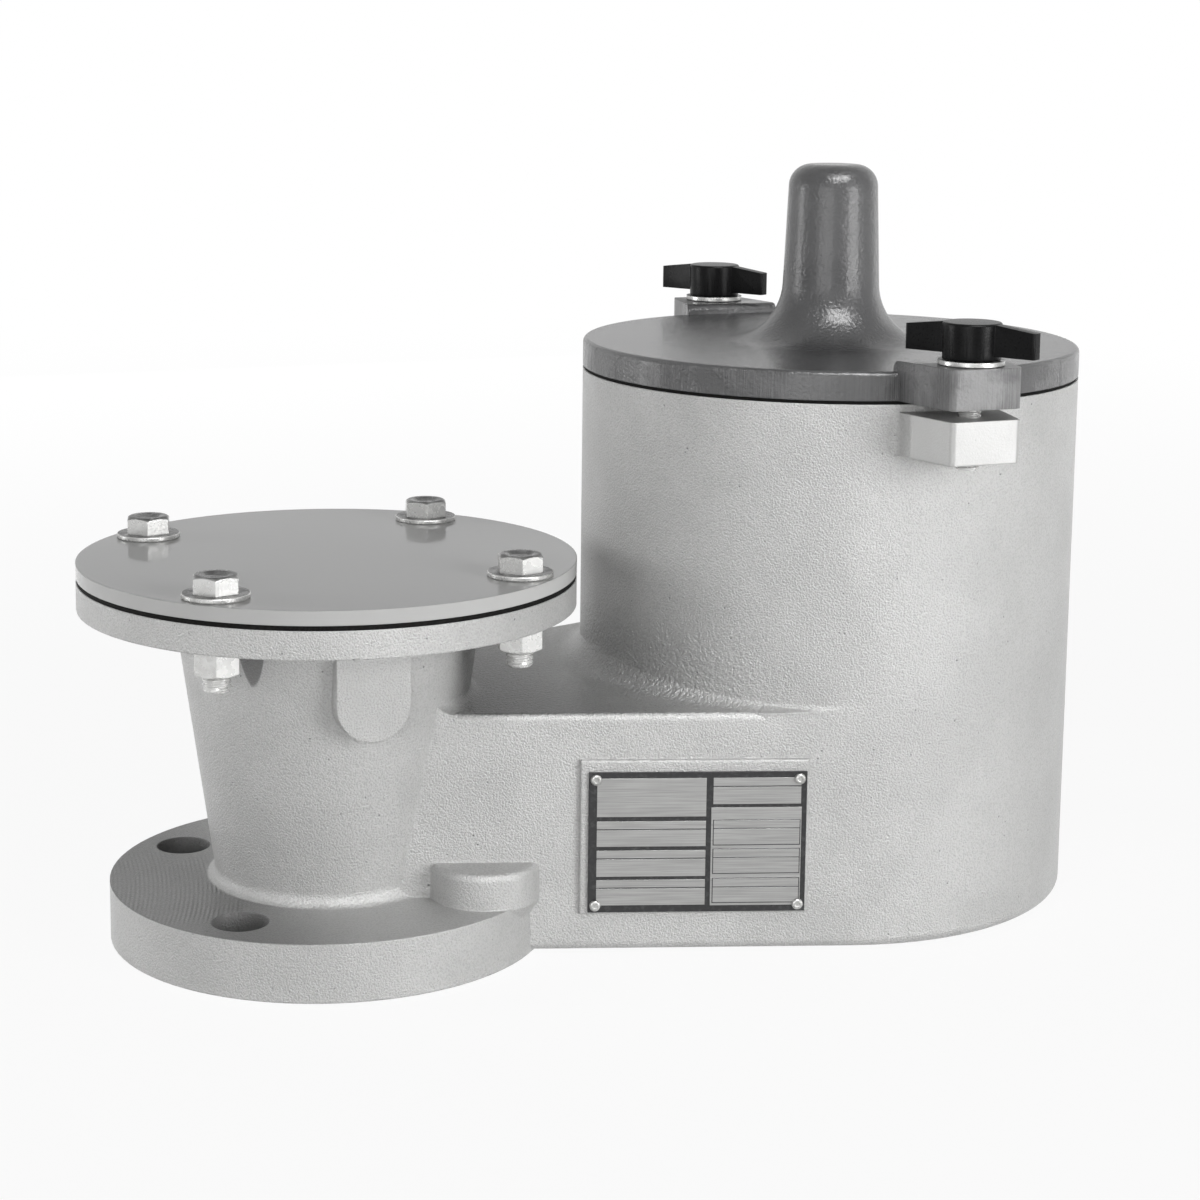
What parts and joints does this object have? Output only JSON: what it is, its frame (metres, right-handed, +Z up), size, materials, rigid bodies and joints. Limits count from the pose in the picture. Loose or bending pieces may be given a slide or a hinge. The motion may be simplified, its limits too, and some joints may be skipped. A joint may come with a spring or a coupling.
{
  "type": "tank breather valve",
  "caption": "Tank breather valve: flanged neck with blind cover, side channel, and a round chamber with weight-loaded pallets under a screw-down lid.",
  "frame": {"origin": "centre of the tank flange's lower face, on the neck axis", "axes": "+Z up along the neck, +X along the casting to the valve chamber, -Y is the nameplate side"},
  "size_m": [0.3667, 0.2506, 0.2651],
  "materials": {
    "cast_body": "sand cast, bead blasted and clear coated",
    "machined": "machined",
    "cover_paint": "smooth gloss grey paint",
    "lid_paint": "gloss dark grey paint on a casting",
    "zinc_steel": "bright zinc plate",
    "gasket": "black elastomer",
    "plate": "brushed, with a black anodised border",
    "stainless": "turned stainless steel",
    "screen": "perforated stainless sheet",
    "knob": "black moulded phenolic",
    "seal": "white fluoropolymer film over foam",
    "weights": "black oxide",
    "bronze": "plain bronze"
  },
  "bodies": {
    "valve_body": {"body_casting": "cast_body", "cover_gasket": "gasket", "cover_plate": "cover_paint", "cover_bolts": "zinc_steel", "cover_washers": "zinc_steel", "cover_nuts": "zinc_steel", "nameplate": "plate", "nameplate_screws": "zinc_steel", "vent_screen": "screen", "screen_screws": "stainless", "lid_gasket": "gasket", "seat_ring": "stainless"},
    "lid": {"lid": "lid_paint", "guide_bush": "bronze"},
    "front_washer": {"front_knob_washer": "zinc_steel"},
    "front_knob": {"front_knob": "knob", "front_knob_screw": "zinc_steel"},
    "rear_washer": {"rear_knob_washer": "zinc_steel"},
    "rear_knob": {"rear_knob": "knob", "rear_knob_screw": "zinc_steel"},
    "pressure_pallet": {"pressure_pallet": "stainless", "pallet_seal": "seal", "guide_tube": "stainless", "loading_weights": "weights", "weight_clip": "stainless", "vacuum_spring": "stainless"},
    "vacuum_pallet": {"vacuum_pallet": "stainless", "vacuum_stem": "stainless", "spring_cup": "stainless", "stem_nuts": "zinc_steel"}
  },
  "joints": [
    {"name": "lid_lift", "type": "slide", "parent": "valve_body", "child": "lid", "axis": [0, 0, 1], "range_m": [0, 0.09]},
    {"name": "pressure_lift", "type": "slide", "parent": "valve_body", "child": "pressure_pallet", "axis": [0, 0, 1], "range_m": [0, 0.02]},
    {"name": "vacuum_drop", "type": "slide", "parent": "pressure_pallet", "child": "vacuum_pallet", "axis": [0, 0, -1], "range_m": [0, 0.012], "stiffness_N_per_m": 400, "springref_m": -0.012, "deforming": ["vacuum_spring"]},
    {"name": "front_screw_rise", "type": "slide", "parent": "lid", "child": "front_washer", "axis": [0, 0, 1], "range_m": [0, 0.01648]},
    {"name": "front_knob_turn", "type": "hinge", "parent": "front_washer", "child": "front_knob", "pos_m": [0.1905, -0.104, 0.21], "axis": [0, 0, 1], "range_deg": [0, 4050]},
    {"name": "rear_screw_rise", "type": "slide", "parent": "lid", "child": "rear_washer", "axis": [0, 0, 1], "range_m": [0, 0.01648]},
    {"name": "rear_knob_turn", "type": "hinge", "parent": "rear_washer", "child": "rear_knob", "pos_m": [0.1905, 0.104, 0.21], "axis": [0, 0, 1], "range_deg": [0, 4050]}
  ],
  "couplings": [
    {"joint": "front_screw_rise", "follows": "front_knob_turn", "m_per_rad": 0.00022458},
    {"joint": "rear_screw_rise", "follows": "rear_knob_turn", "m_per_rad": 0.00022458}
  ]
}
